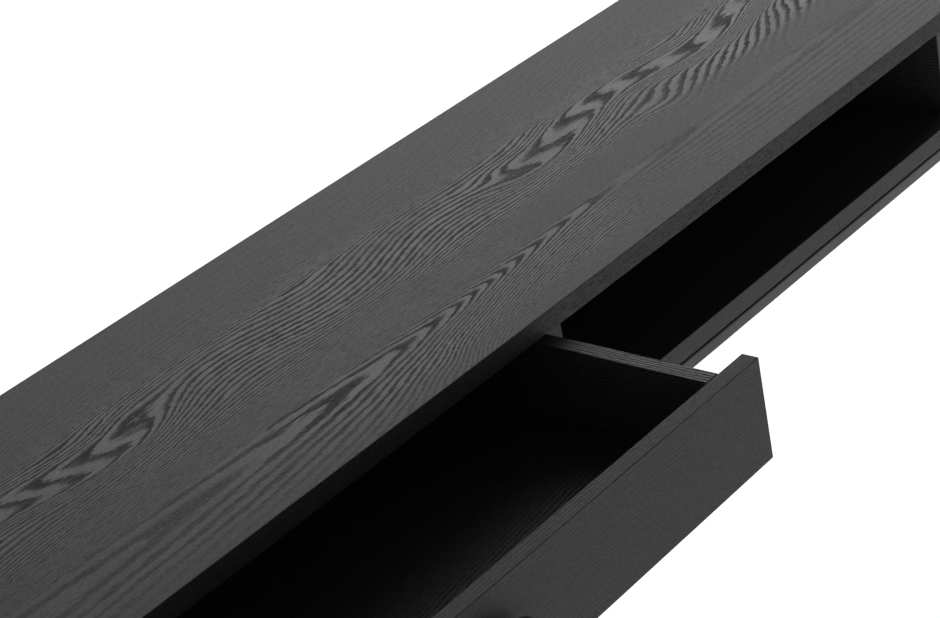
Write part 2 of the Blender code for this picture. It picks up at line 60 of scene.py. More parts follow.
class Bench:
    # one material's node tree, with short words for the nodes it takes

    def __init__(self, name):
        self.material = bpy.data.materials.new(name)
        self.material.use_nodes = True
        self.tree = self.material.node_tree
        self.shader = self.tree.nodes["Principled BSDF"]
        self.coords = self.tree.nodes.new("ShaderNodeTexCoord")

    def feed(self, socket, value):
        if isinstance(value, bpy.types.NodeSocket):
            self.tree.links.new(value, socket)
        else:
            socket.default_value = value

    def math(self, kind, *values):
        node = self.tree.nodes.new("ShaderNodeMath")
        node.operation = kind
        for socket, value in zip(node.inputs, values):
            self.feed(socket, value)
        return node.outputs[0]

    def add(self, a, b):
        return self.math("ADD", a, b)

    def sub(self, a, b):
        return self.math("SUBTRACT", a, b)

    def mul(self, a, b):
        return self.math("MULTIPLY", a, b)

    def ramp(self, value, low, high, lowOut=0.0, highOut=1.0):
        # straight line from lowOut at low to highOut at high, held flat outside
        node = self.tree.nodes.new("ShaderNodeMapRange")
        for index, item in enumerate((value, low, high, lowOut, highOut)):
            self.feed(node.inputs[index], item)
        return node.outputs[0]

    def blend(self, factor, a, b):
        # a where the factor is 0, b where it is 1
        return self.add(a, self.mul(self.sub(b, a), factor))

    def curve(self, value, points):
        # a smooth curve through given points (value, result)
        xs = [x for x, y in points]
        ys = [y for x, y in points]
        span = (max(ys) - min(ys)) or 1.0
        node = self.tree.nodes.new("ShaderNodeFloatCurve")
        line = node.mapping.curves[0]
        while len(line.points) < len(points):
            line.points.new(0.5, 0.5)
        for spot, (x, y) in zip(line.points, points):
            spot.location = ((x - xs[0]) / (xs[-1] - xs[0]), (y - min(ys)) / span)
            spot.handle_type = "AUTO_CLAMPED"
        node.mapping.update()
        self.feed(node.inputs["Value"], self.ramp(value, xs[0], xs[-1]))
        return self.math("MULTIPLY_ADD", node.outputs[0], span, min(ys))

    def split(self, vector):
        node = self.tree.nodes.new("ShaderNodeSeparateXYZ")
        self.feed(node.inputs[0], vector)
        return node.outputs

    def join(self, x, y, z):
        node = self.tree.nodes.new("ShaderNodeCombineXYZ")
        for socket, value in zip(node.inputs, (x, y, z)):
            self.feed(socket, value)
        return node.outputs[0]

    def noise(self, x, y, z=0.0, detail=2.0):
        # cloud noise around 0.5 on already scaled coordinates
        node = self.tree.nodes.new("ShaderNodeTexNoise")
        self.feed(node.inputs["Vector"], self.join(x, y, z))
        node.inputs["Scale"].default_value = 1.0
        node.inputs["Detail"].default_value = detail
        return node.outputs["Fac"]

    def cloud(self, x, y, cells, detail=2.0):
        # that noise with so many cells per metre along x and y; the third number picks the pattern
        return self.noise(self.mul(x, cells[0]), self.mul(y, cells[1]), cells[2], detail)

    def drift(self, x, y, cells, detail=2.0):
        # the same noise, centred on 0
        return self.sub(self.cloud(x, y, cells, detail), 0.5)

    def rounded(self, value, tip):
        # distance from 0 with a rounded tip: root of (value squared + tip squared), less tip
        squared = self.math("POWER", value, 2.0)
        return self.sub(self.math("SQRT", self.add(squared, tip ** 2)), tip)

    def grey(self, value, low, high):
        # colour from low to high as value goes 0 to 1
        node = self.tree.nodes.new("ShaderNodeMix")
        node.data_type = "RGBA"
        self.feed(node.inputs["Factor"], value)
        node.inputs["A"].default_value = (*low, 1.0)
        node.inputs["B"].default_value = (*high, 1.0)
        return node.outputs["Result"]

    def bump(self, height, distance, strength=1.0):
        node = self.tree.nodes.new("ShaderNodeBump")
        node.inputs["Strength"].default_value = strength
        node.inputs["Distance"].default_value = distance
        self.feed(node.inputs["Height"], height)
        self.tree.links.new(node.outputs[0], self.shader.inputs["Normal"])


# black-stained ash
ash = {
    "poreColour": (0.0015, 0.0015, 0.0015),
    "earlyColour": (0.002, 0.002, 0.002),
    "lateColour": (0.036, 0.036, 0.0365),
    "lateRoughness": 0.30,
    "earlyRoughness": 0.72,
    "poreDepth": 0.00045,
    "mottle": 0.9,
    "gloss": 0.38,
    "frontGloss": 0.25,
    "wander": (30.0, 200.0, 4.1),
    "fray": (110.0, 900.0, 6.3),
    "ringShift": 0.55,
    "year": [(0, -1), (0.10, -1), (0.40, -0.35), (0.60, 1), (0.92, 1), (1, -1)],
    "mottleCells": (260.0, 420.0, 5.1),
    "poreRoughness": 0.25,
    "relief": 0.30,
    "reliefStrength": 0.6,
    "dashes": (130.0, 1300.0, 7.7),
    "dashCut": (0.50, 0.62),
    "dashShare": (0.4, -0.6, 0.12, 1.0),
    "specks": (420.0, 1100.0, 3.9),
    "speckCut": (0.54, 0.66, 0.0, 0.30),
    "heartTip": 0.010,
    "arris": (0.70, 0.72),
}


def ringTone(bench, rings, x, y):
    # one year's growth from its whole-number part: -1 in the porous early wood, rising to +1 in the
    # smooth late wood, with a sharp fall where the next year starts
    phase = bench.math("MULTIPLY_ADD", bench.drift(x, y, ash["wander"]), ash["ringShift"], rings)
    phase = bench.math("MULTIPLY_ADD", bench.drift(x, y, ash["fray"]), ash["ringShift"], phase)
    return bench.curve(bench.math("FRACT", phase), ash["year"])


def finishAsh(bench, tone, hits, amount, place, gloss=None):
    # late wood is lighter, smoother and stands proud; pores are dark grooves
    mottle = bench.drift(*place, ash["mottleCells"])
    shade = bench.math("MULTIPLY_ADD", mottle, ash["mottle"], bench.mul(tone, amount))
    shade = bench.ramp(shade, -1.0, 1.0)
    low = bench.grey(shade, ash["earlyColour"], ash["lateColour"])
    mix = bench.tree.nodes.new("ShaderNodeMix")
    mix.data_type = "RGBA"
    bench.feed(mix.inputs["Factor"], hits)
    bench.feed(mix.inputs["A"], low)
    mix.inputs["B"].default_value = (*ash["poreColour"], 1.0)
    bench.feed(bench.shader.inputs["Base Color"], mix.outputs["Result"])
    rough = bench.ramp(shade, 0.0, 1.0, ash["earlyRoughness"], ash["lateRoughness"])
    rough = bench.math("MULTIPLY_ADD", hits, ash["poreRoughness"], rough)
    bench.feed(bench.shader.inputs["Roughness"], rough)
    bench.shader.inputs["Specular IOR Level"].default_value = gloss or ash["gloss"]
    height = bench.sub(bench.mul(shade, ash["relief"]), hits)
    bench.bump(height, ash["poreDepth"], ash["reliefStrength"])
    return bench.material


def poreHits(bench, x, y, tone, amount):
    # short dark dashes along the grain, thick in the early wood and sparse elsewhere, and fainter specks:
    # the stronger of the two at each point
    dashes = bench.ramp(bench.cloud(x, y, ash["dashes"]), *ash["dashCut"])
    early = bench.ramp(tone, *ash["dashShare"])
    specks = bench.ramp(bench.cloud(x, y, ash["specks"], 1.0), *ash["speckCut"])
    return bench.math("MAXIMUM", bench.mul(bench.mul(dashes, early), amount), specks)


# the top's figure: curves of (place, value), with places in metres along the length or back from the front
figure = {
    "drift": (9.0, 40.0, 1.3),
    "driftBy": 0.0060,
    "waveShift": 0.195,
    "waveLength": 0.265,
    "swing": [(0.09, 0), (0.12, 0.0008), (0.15, 0.0045), (0.19, 0.012), (0.215, 0.012), (0.24, 0.004),
              (0.265, 0)],
    "calm": [(-0.6, 0), (-0.31, 0), (-0.2, 1), (0.11, 1), (0.2, 0), (0.6, 0)],
    "fanned": [(-0.6, 0), (0.26, 0), (0.37, 1), (0.6, 1)],
    "flames": [(0.08, 0), (0.14, 24), (0.17, 30.6), (0.193, 35.2), (0.213, 34.6), (0.236, 38.4),
               (0.27, 50), (0.36, 60)],
    "plain": [(0.08, 0), (0.14, 24), (0.17, 30.6), (0.194, 34.0), (0.214, 36.6), (0.236, 39.7), (0.27, 50),
              (0.36, 60)],
    "fan": [(0.08, 0), (0.115, 26), (0.13, 28), (0.17, 31.6), (0.195, 34.6), (0.213, 34.4), (0.236, 38.4),
            (0.27, 50), (0.36, 60)],
    "slow": [(-0.62, -10.3), (-0.25, -0.6), (-0.2, 0.2), (0, 1.2), (0.14, 2.2), (0.2, 3.2), (0.4, 6.4),
             (0.6, 9.4)],
    "fanStart": 0.30,
    "fanRings": 34.0,
    "fanDrop": [(0.08, 1), (0.165, 1), (0.205, 0), (0.36, 0)],
    "spread": [(-0.6, 80), (-0.25, 110), (-0.12, 200), (0.03, 340), (0.15, 300), (0.3, 130), (0.6, 110)],
    "march": [(-0.6, -1.9), (-0.22, -0.1), (-0.13, 0.75), (0.10, 9.0), (0.2, 10.6), (0.6, 12.2)],
    "heart": [(-0.6, 0.066), (-0.2, 0.072), (0.05, 0.081), (0.2, 0.085), (0.6, 0.083)],
    "jag": (60.0, 90.0, 9.9),
    "jagBy": 0.007,
    "seam": (0.0905, 0.0925),
    "vary": (7.0, 30.0, 2.1),
    "varyShare": (0.25, 0.75, 0.40, 0.88),
    "strongUpper": [(0.08, 0.9), (0.235, 1), (0.262, 0.5), (0.29, 0.1), (0.36, 0)],
    "fadeRight": [(-0.6, 1), (0.02, 1), (0.13, 0.12), (0.6, 0.08)],
    "inLower": [(0.09, 1), (0.125, 1), (0.15, 0), (0.36, 0)],
    "strongBack": [(0, 0.2), (0.02, 0.5), (0.045, 1), (0.36, 1)],
    "strongAlong": [(-0.6, 0.3), (-0.3, 0.45), (-0.15, 1), (0.1, 1), (0.2, 0.3), (0.6, 0.2)],
    "edgeAmount": 0.9,
    # painted shade: the darker tone given to the upright edge faces of the top
    "edgeShadeTone": -0.5,
    "poreShare": (0.0, 1.0, 0.15, 0.9),
}


def topFigure():
    # the figured veneer of the top: its growth rings as a height map whose whole numbers are ring lines
    bench = Bench("ashTop")
    place = bench.split(bench.coords.outputs["Object"])
    x = place[0]
    # distance back from the front edge; down the edges the figure carries on over the arris
    back = bench.add(bench.add(place[1], -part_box("top_panel")[0].y), place[2])
    y = bench.math("MULTIPLY_ADD", bench.drift(x, back, figure["drift"]), figure["driftBy"], back)
    wave = bench.mul(bench.add(x, figure["waveShift"]), 2 * pi / figure["waveLength"])
    swing = bench.curve(y, figure["swing"])
    flow = bench.sub(y, bench.mul(swing, bench.math("COSINE", wave)))
    # rings counted across the board: with flames, plain between them, and fanned at the right
    flames = bench.curve(flow, figure["flames"])
    plain = bench.curve(flow, figure["plain"])
    fan = bench.curve(flow, figure["fan"])
    count = bench.blend(bench.curve(x, figure["calm"]), flames, plain)
    count = bench.blend(bench.curve(x, figure["fanned"]), count, fan)
    slow = bench.curve(x, figure["slow"])
    past = bench.math("MAXIMUM", bench.sub(x, figure["fanStart"]), 0.0)
    fast = bench.mul(bench.mul(past, figure["fanRings"]), bench.curve(flow, figure["fanDrop"]))
    upperRings = bench.sub(bench.sub(count, slow), fast)
    # the second heart near the front: rings as roots of squared distance from a rising line
    away = bench.rounded(bench.sub(y, bench.curve(x, figure["heart"])), ash["heartTip"])
    spread = bench.curve(x, figure["spread"])
    lowerRings = bench.math("MULTIPLY_ADD", away, spread, bench.curve(x, figure["march"]))
    jag = bench.drift(x, y, figure["jag"])
    seam = bench.ramp(bench.math("MULTIPLY_ADD", jag, figure["jagBy"], y), *figure["seam"])
    upper = ringTone(bench, upperRings, x, y)
    lower = ringTone(bench, lowerRings, x, y)
    # how strongly the figure shows
    vary = bench.ramp(bench.cloud(x, y, figure["vary"]), *figure["varyShare"])
    fading = bench.sub(1.0, bench.curve(x, figure["fadeRight"]))
    faded = bench.sub(1.0, bench.mul(bench.curve(flow, figure["inLower"]), fading))
    strongUpper = bench.mul(bench.curve(flow, figure["strongUpper"]), faded)
    strongLower = bench.mul(bench.curve(y, figure["strongBack"]), bench.curve(x, figure["strongAlong"]))
    amount = bench.mul(bench.blend(seam, strongLower, strongUpper), vary)
    # the edge bands are matt and even, with painted shade: a darker tone on the upright faces than on the
    # top
    level = bench.math("ABSOLUTE", bench.split(bench.coords.outputs["Normal"])[2])
    onEdge = bench.ramp(level, ash["arris"][1], ash["arris"][0])
    amount = bench.blend(onEdge, amount, figure["edgeAmount"])
    tone = bench.blend(onEdge, bench.blend(seam, lower, upper), figure["edgeShadeTone"])
    hits = poreHits(bench, x, y, tone, bench.ramp(amount, *figure["poreShare"]))
    return finishAsh(bench, tone, hits, amount, (x, y))


# straight-grained veneer: rings per metre across and along it, and how far its patterns shift per seed
straight = {
    "shift": 0.037,
    "sway": (5.0, 22.0),
    "swayBy": 0.010,
    "ringsAlong": 6.0,
    "ringsAcross": 330.0,
    "heartAcross": 230.0,
    "heartAlong": 24.0,
    "patches": (6.0, 40.0),
    "patchSeed": 3.0,
    "patchShare": (0.3, 0.7, 0.4, 1.0),
    "poreShare": 0.9,
}


def plainAsh(name, along, seed, amount, heart, gloss):
    # straight-grained veneer for the other boards. On each face of a board the grain runs along its length:
    # u is the distance along the grain and v across it. With a heart, the rings mirror about that line.
    bench = Bench(name)
    place = bench.split(bench.coords.outputs["Object"])
    normal = [bench.math("ABSOLUTE", part) for part in bench.split(bench.coords.outputs["Normal"])]
    onX = bench.ramp(normal[0], *ash["arris"])
    onY = bench.ramp(normal[1], *ash["arris"])
    pairs = {"x": ((1, 2), (0, 2), (0, 1)), "y": ((1, 2), (2, 0), (1, 0))}
    (ux, vx), (uy, vy), (uz, vz) = pairs[along]
    u = bench.blend(onX, bench.blend(onY, place[uz], place[uy]), place[ux])
    v = bench.blend(onX, bench.blend(onY, place[vz], place[vy]), place[vx])
    v = bench.add(v, seed * straight["shift"])
    sway = bench.drift(u, v, (*straight["sway"], seed), 1.0)
    y = bench.math("MULTIPLY_ADD", sway, straight["swayBy"], v)
    if heart is None:
        rings = bench.math("MULTIPLY_ADD", u, straight["ringsAlong"], bench.mul(y, straight["ringsAcross"]))
    else:
        away = bench.rounded(bench.sub(y, heart + seed * straight["shift"]), ash["heartTip"])
        climb = bench.mul(u, straight["heartAlong"])
        rings = bench.math("MULTIPLY_ADD", away, straight["heartAcross"], climb)
    tone = ringTone(bench, rings, u, y)
    patches = bench.cloud(u, v, (*straight["patches"], seed + straight["patchSeed"]))
    strength = bench.mul(bench.ramp(patches, *straight["patchShare"]), amount)
    hits = poreHits(bench, u, y, tone, bench.mul(strength, straight["poreShare"]))
    return finishAsh(bench, tone, hits, strength, (u, y), gloss)


def paint(material, *names):
    # puts one material in every slot of the named nodes
    for name in names:
        obj = nodes[name]
        if obj.data.materials:
            obj.data.materials[0] = material
        else:
            obj.data.materials.append(material)
        for slot in obj.material_slots:
            slot.material = material


paint(topFigure(), "top_panel")
# for each board: the axis of its grain, seed, strength of the figure and place of its heart
boards = {
    "bottom_panel": ("x", 1.0, 0.15, 0.02),
    "back_panel": ("x", 2.0, 0.6, -0.07),
    "left_end_panel": ("y", 3.0, 0.6, None),
    "right_end_panel": ("y", 4.0, 0.6, None),
    "centre_divider": ("y", 5.0, 0.4, None),
    "drawer_front": ("x", 6.0, 0.22, None),
    "drawer_left_side": ("y", 7.0, 1.2, None),
    "drawer_right_side": ("y", 8.0, 1.2, None),
    "drawer_back": ("x", 9.0, 0.5, None),
    "drawer_floor": ("x", 10.0, 0.5, -0.2),
}
fronts = ("bottom_panel", "centre_divider", "drawer_front")
for name, (along, seed, amount, heart) in boards.items():
    gloss = ash["frontGloss"] if name in fronts else ash["gloss"]
    paint(plainAsh("ash_" + name, along, seed, amount, heart, gloss), name)
print("ash boards done")


coatings = {
    # black powder coat: fine orange-peel grain
    "powderCoat": {
        "colours": ((0.010, 0.010, 0.0105), (0.024, 0.024, 0.025)),
        "colourCells": (1400.0, 1400.0, 1400.0),
        "colourDetail": 3.0,
        "roughness": (0.40, 0.52),
        "roughCells": (18.0, 18.0, 18.0),
        "roughDetail": 2.0,
        "relief": "colour",
        "depth": 0.00008,
        "strength": 0.6,
        "metallic": 0.0,
    },
    # rolled zinc-plated sheet: faint streaks along the roll, cloudy shine
    "zincSheet": {
        "colours": ((0.50, 0.51, 0.53), (0.66, 0.67, 0.68)),
        "colourCells": (60.0, 25.0, 60.0),
        "colourDetail": 3.0,
        "roughness": (0.26, 0.42),
        "roughCells": (900.0, 12.0, 900.0),
        "roughDetail": 2.0,
        "relief": "rough",
        "depth": 0.00002,
        "strength": 0.4,
        "metallic": 1.0,
    },
    # zinc-plated steel of the screws: small clouds
    "screwSteel": {
        "colours": ((0.46, 0.46, 0.47), (0.64, 0.64, 0.64)),
        "colourCells": (500.0, 500.0, 500.0),
        "colourDetail": 3.0,
        "roughness": (0.24, 0.38),
        "roughCells": (500.0, 500.0, 500.0),
        "roughDetail": 3.0,
        "relief": "colour",
        "depth": 0.00002,
        "strength": 0.3,
        "metallic": 1.0,
    },
    # moulded black plastic: fine specks
    "glidePlastic": {
        "colours": ((0.010, 0.010, 0.010), (0.020, 0.020, 0.021)),
        "colourCells": (2200.0, 2200.0, 2200.0),
        "colourDetail": 2.0,
        "roughness": (0.48, 0.62),
        "roughCells": (2200.0, 2200.0, 2200.0),
        "roughDetail": 2.0,
        "relief": "colour",
        "depth": 0.00003,
        "strength": 0.4,
        "metallic": 0.0,
    },
    # black foam rubber: matt, with fine open cells
    "foamRubber": {
        "colours": ((0.003, 0.003, 0.003), (0.010, 0.010, 0.010)),
        "colourCells": (3000.0, 3000.0, 3000.0),
        "colourDetail": 1.0,
        "roughness": (0.80, 0.92),
        "roughCells": (3000.0, 3000.0, 3000.0),
        "roughDetail": 1.0,
        "relief": "colour",
        "depth": 0.0001,
        "strength": 0.6,
        "metallic": 0.0,
    },
    # fluted dowel beech: pale, with short darker flecks along the grain
    "beechWood": {
        "colours": ((0.62, 0.44, 0.27), (0.44, 0.29, 0.16)),
        "colourCells": (700.0, 160.0, 700.0),
        "colourDetail": 3.0,
        "roughness": (0.62, 0.75),
        "roughCells": (700.0, 160.0, 700.0),
        "roughDetail": 3.0,
        "relief": "colour",
        "depth": 0.00004,
        "strength": 0.3,
        "metallic": 0.0,
    },
}


def coating(name):
    # colour runs between two tones with one cloud noise and roughness between two values with another,
    # and one of the two raises a fine relief
    look = coatings[name]
    bench = Bench(name)
    place = bench.split(bench.coords.outputs["Object"])
    clouds = {}
    for part in ("colour", "rough"):
        scaled = [bench.mul(value, cells) for value, cells in zip(place, look[part + "Cells"])]
        clouds[part] = bench.noise(*scaled, look[part + "Detail"])
    bench.feed(bench.shader.inputs["Base Color"], bench.grey(clouds["colour"], *look["colours"]))
    bench.feed(bench.shader.inputs["Roughness"], bench.ramp(clouds["rough"], 0.3, 0.7, *look["roughness"]))
    bench.shader.inputs["Metallic"].default_value = look["metallic"]
    bench.bump(clouds[look["relief"]], look["depth"], look["strength"])
    return bench.material


finishes = {
    "steel": coating("powderCoat"),
    "zinc": coating("zincSheet"),
    "screw": coating("screwSteel"),
    "plastic": coating("glidePlastic"),
    "rubber": coating("foamRubber"),
    "beech": coating("beechWood"),
}
for name in nodes:
    if "dowel" in name:
        paint(finishes["beech"], name)
    elif "screw" in name:
        paint(finishes["screw"], name)
    elif name.startswith(("slide_", "ball_cage")):
        paint(finishes["zinc"], name)
    elif name.startswith("glide"):
        paint(finishes["plastic"], name)
    elif name == "frame_gasket":
        paint(finishes["rubber"], name)
    elif name.startswith("leg_") or name.endswith("_rail") or name == "drawer_knob":
        paint(finishes["steel"], name)
print("metal and plastic done")


def addSurface(name, shells, material):
    # closed shells of points and faces in one mesh, each turned to enclose a positive volume: the sum of
    # a . (b x c) over its triangles. A corner named twice in a face is dropped
    allPoints, allFaces, count = [], [], 0
    for points, faces in shells:
        a, b, c, d = (points[faces[:, index]] for index in range(4))
        volume = np.einsum("ij,ij->", a, np.cross(b, c)) + np.einsum("ij,ij->", a, np.cross(c, d))
        allFaces.append((faces[:, ::-1] if volume < 0 else faces) + count)
        allPoints.append(points)
        count += len(points)
    corners = np.concatenate(allFaces).tolist()
    mesh = bpy.data.meshes.new(name)
    allQuads = [list(dict.fromkeys(face)) for face in corners]
    mesh.from_pydata(np.concatenate(allPoints).tolist(), [], allQuads)
    mesh.shade_smooth()
    mesh.set_sharp_from_angle(angle=radians(32))
    mesh.materials.append(material)
    piece = bpy.data.objects.new(name, mesh)
    bpy.context.scene.collection.objects.link(piece)
    return piece


def takePlace(piece, node, body):
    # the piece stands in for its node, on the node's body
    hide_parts(node)
    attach(piece, body)


def gridFaces(rows, turns):
    # quads between neighbouring rings of points, each ring closed on itself
    ring = np.arange(turns)
    after = (ring + 1) % turns
    start = np.arange(rows - 1)[:, None] * turns
    quads = np.stack([start + ring, start + after, start + turns + after, start + turns + ring], axis=-1)
    return quads.reshape(-1, 4)


def turnedSurface(radius, height, turns, poles):
    # rings about local +Z: each point is (radius cos angle, radius sin angle, height), closed by two poles
    angle = np.arange(turns) * 2 * pi / turns
    rings = np.stack([radius * np.cos(angle), radius * np.sin(angle), height], axis=-1)
    points = np.concatenate([rings.reshape(-1, 3), [(0, 0, poles[0]), (0, 0, poles[1])]])
    rows = len(radius)
    ring = np.arange(turns)
    after = (ring + 1) % turns
    first = np.full(turns, rows * turns)
    last = (rows - 1) * turns
    low = np.stack([first, after, ring, first], axis=-1)
    high = np.stack([first + 1, last + ring, last + after, first + 1], axis=-1)
    return points, np.concatenate([gridFaces(rows, turns), low, high])


def aimed(points, place, direction):
    # local +Z turned to direction, and the origin put at place
    turn = Vector((0, 0, 1)).rotation_difference(Vector(direction)).to_matrix()
    return points @ np.array(turn).T + np.array(place)


def arc(across, up, rounding, start, steps=8):
    # a quarter circle about (across, up), from the angle start to start + 90 degrees
    angle = start + np.linspace(0, pi / 2, steps + 1)
    return np.stack([across + rounding * np.cos(angle), up + rounding * np.sin(angle)], axis=-1)


knob = {
    "neck": 0.0080,
    "foot": 0.0095,
    "footHeight": 0.0013,
    "chamfer": 0.0003,
    "flare": 0.0015,
    "head": 0.0100,
    "edge": 0.0014,
    "dish": 0.0004,
    "bore": 0.0023,
    "skin": 0.0080,
    "centre": 0.001,
    "waistRings": 13,
    "faceRings": 8,
    "turns": 96,
}


def makeKnob():
    # a profile of radius and reach spun about the screw: bore, thin foot, waisted neck, round-edged head
    low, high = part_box("drawer_knob")
    radius = (high.x - low.x) / 2
    reach = high.y - low.y
    neck, edge, bore, flare = knob["neck"], knob["edge"], knob["bore"], knob["flare"]
    behind = reach - knob["head"]
    share = np.linspace(0, 1, knob["waistRings"])
    waist = np.stack([neck + flare * (2 * share - 1) ** 4, flare + (behind - flare) * share], axis=-1)
    inward = np.linspace(radius - edge, knob["centre"], knob["faceRings"])
    face = np.stack([inward, reach - knob["dish"] * (1 - (inward / (radius - edge)) ** 2)], axis=-1)
    profile = np.concatenate([
        [(bore * 0.5, reach - knob["skin"]), (bore, reach - knob["skin"]), (bore, 0)],
        [(knob["foot"] - knob["chamfer"], 0), (knob["foot"], knob["chamfer"])],
        [(knob["foot"], knob["footHeight"])],
        waist,
        [((neck + radius) / 2, behind)],
        arc(radius - edge, behind + edge, edge, -pi / 2),
        arc(radius - edge, reach - edge, edge, 0),
        face[1:],
    ])
    ones = np.ones(knob["turns"])
    poles = (reach - knob["skin"], reach - knob["dish"])
    points, faces = turnedSurface(profile[:, :1] * ones, profile[:, 1:] * ones, knob["turns"], poles)
    place = ((low.x + high.x) / 2, high.y, (low.z + high.z) / 2)
    piece = addSurface("turnedKnob", [(aimed(points, place, (0, -1, 0)), faces)], finishes["steel"])
    takePlace(piece, "drawer_knob", "drawer")


# kinds: radius of the shank and depth of the countersunk head, which is 0 for a domed head
screw = {
    "kinds": {"pan": (0.0019, 0), "flush": (0.0019, 0.0024), "slide": (0.0016, 0.0012)},
    "pitch": 0.0016,
    "stepsPerTurn": 4,
    "thread": 0.00035,
    "threadStart": 0.0003,
    "runIn": 0.004,
    "tip": 2.2,
    "tipRings": 7,
    "dome": 0.6,
    "crown": 0.97,
    "collar": 0.0002,
    "slot": 0.00045,
    "slotWall": 0.00015,
    "slotEnd": 0.0003,
    "slotDepth": 0.0009,
    "slotDeepest": 1.15,
    "centreDepth": 1.1,
    "reach": 0.62,
    "headRings": (0.08, 0.16, 0.24, 0.32, 0.40, 0.48, 0.56, 0.62, 0.70, 0.80, 0.90, 0.96, 1.0),
    "turns": 28,
}


def makeScrew(node, direction, kind, body):
    # rings along the axis: a head with a cross pressed into it, flat if countersunk and else domed, then a
    # shank whose radius follows a triangle wave of height less angle, which makes the thread a helix
    shank, sink = screw["kinds"][kind]
    low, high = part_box(node)
    size = high - low
    axis = max(range(3), key=lambda index: abs(direction[index]))
    length = size[axis]
    head = min(size[index] for index in range(3) if index != axis) / 2
    turns = screw["turns"]
    ones = np.ones(turns)
    angle = np.arange(turns) * 2 * pi / turns
    share = np.array(screw["headRings"])[:, None]
    rise = 0.0 if sink else head * screw["dome"]
    crown = rise * (1 - np.sqrt(1 - (share * screw["crown"]) ** 2))
    along, across = np.abs(share * head * np.cos(angle)), np.abs(share * head * np.sin(angle))
    near, far = np.minimum(along, across), np.maximum(along, across)
    inCross = np.clip((screw["slot"] - near) / screw["slotWall"] + 1, 0, 1)
    inCross = inCross * np.clip((screw["reach"] * head - far) / screw["slotEnd"], 0, 1)
    headHeight = crown + inCross * screw["slotDepth"] * np.clip(screw["slotDeepest"] - far / head, 0, 1)
    seat = sink or rise
    taper = screw["tip"] * shank
    step = screw["pitch"] / screw["stepsPerTurn"]
    rows = np.arange(seat + screw["threadStart"], length - taper, step)[:, None]
    wave = np.abs(((rows / screw["pitch"] - angle / (2 * pi)) % 1.0) * 2 - 1)
    shaft = shank - screw["thread"] * np.clip((rows - seat) / screw["runIn"], 0, 1) * wave
    left = np.linspace(0.95, 0.05, screw["tipRings"])[:, None]
    rim = screw["collar"] if sink else rise
    collar = np.array([(head, rim), (shank, seat)])
    radii = [share * head * ones, collar[:, :1] * ones, shaft, (shank - screw["thread"]) * left * ones]
    heights = [headHeight, collar[:, 1:] * ones, rows * ones, (length - taper * left) * ones]
    poles = (screw["slotDepth"] * screw["centreDepth"], length)
    points, faces = turnedSurface(np.concatenate(radii), np.concatenate(heights), turns, poles)
    place = (low + high) / 2
    place[axis] = low[axis] if direction[axis] > 0 else high[axis]
    piece = addSurface("cut_" + node, [(aimed(points, place, direction), faces)], finishes["screw"])
    takePlace(piece, node, body)


def bentSheet(node, opens, sheet, bend, row):
    # a C of sheet with round bends carried along Y: rings of four corners, outside and inside at both ends
    low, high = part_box(node)
    tip = high.x - low.x
    inner = bend - sheet
    outside = np.concatenate([[(tip, -row)], arc(bend, bend - row, bend, -pi)[::-1],
                              arc(bend, row - bend, bend, pi / 2)[::-1], [(tip, row)]])
    inside = np.concatenate([[(tip, sheet - row)], arc(bend, bend - row, inner, pi)[::-1],
                             arc(bend, row - bend, inner, pi / 2)[::-1], [(tip, row - sheet)]])
    x = [(low.x if opens > 0 else high.x) + opens * line[:, 0] for line in (outside, inside)]
    z = [(low.z + high.z) / 2 + line[:, 1] for line in (outside, inside)]
    spots = ((0, low.y), (0, high.y), (1, high.y), (1, low.y))
    rings = [np.stack([x[side], np.full(len(outside), y), z[side]], axis=-1) for side, y in spots]
    points = np.stack(rings, axis=1).reshape(-1, 3)
    last = (len(outside) - 1) * 4
    ends = np.array([(3, 2, 1, 0), (last, last + 1, last + 2, last + 3)])
    return points, np.concatenate([gridFaces(len(outside), 4), ends])


cage = {
    "sheet": 0.0005,
    "bend": 0.0012,
    "ball": 0.0012,
    "cover": 0.0008,
    "end": 0.0100,
    "perSide": 5,
    "rings": 11,
    "turns": 20,
}


def makeCage(node, opens, body):
    # the bent strip, and two rows of balls: each a half circle spun about Z
    low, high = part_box(node)
    row = (high.z - low.z) / 2 - cage["ball"]
    shells = [bentSheet(node, opens, cage["sheet"], cage["bend"], row + cage["sheet"] / 2)]
    tip = high.x if opens > 0 else low.x
    slant = np.linspace(0, pi, cage["rings"])[1:-1, None]
    ones = np.ones(cage["turns"])
    ball = cage["ball"]
    radii, heights = ball * np.sin(slant) * ones, -ball * np.cos(slant) * ones
    points, faces = turnedSurface(radii, heights, cage["turns"], (-ball, ball))
    for y in np.linspace(low.y + cage["end"], high.y - cage["end"], cage["perSide"]):
        for z in (-row, row):
            centre = (tip - opens * (ball + cage["cover"]), y, (low.z + high.z) / 2 + z)
            shells.append((points + np.array(centre), faces))
    piece = addSurface("balls_" + node, shells, finishes["zinc"])
    takePlace(piece, node, body)


middleChannel = {"sheet": 0.0012, "bend": 0.0019}


def makeMiddleChannel(word, opens):
    # the rolled channel between the two rows of balls, as high as its node
    node = f"slide_middle_{word}"
    low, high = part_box(node)
    shape = bentSheet(node, opens, middleChannel["sheet"], middleChannel["bend"], (high.z - low.z) / 2)
    piece = addSurface("rolled_" + node, [shape], finishes["zinc"])
    takePlace(piece, node, f"middle_{word}")


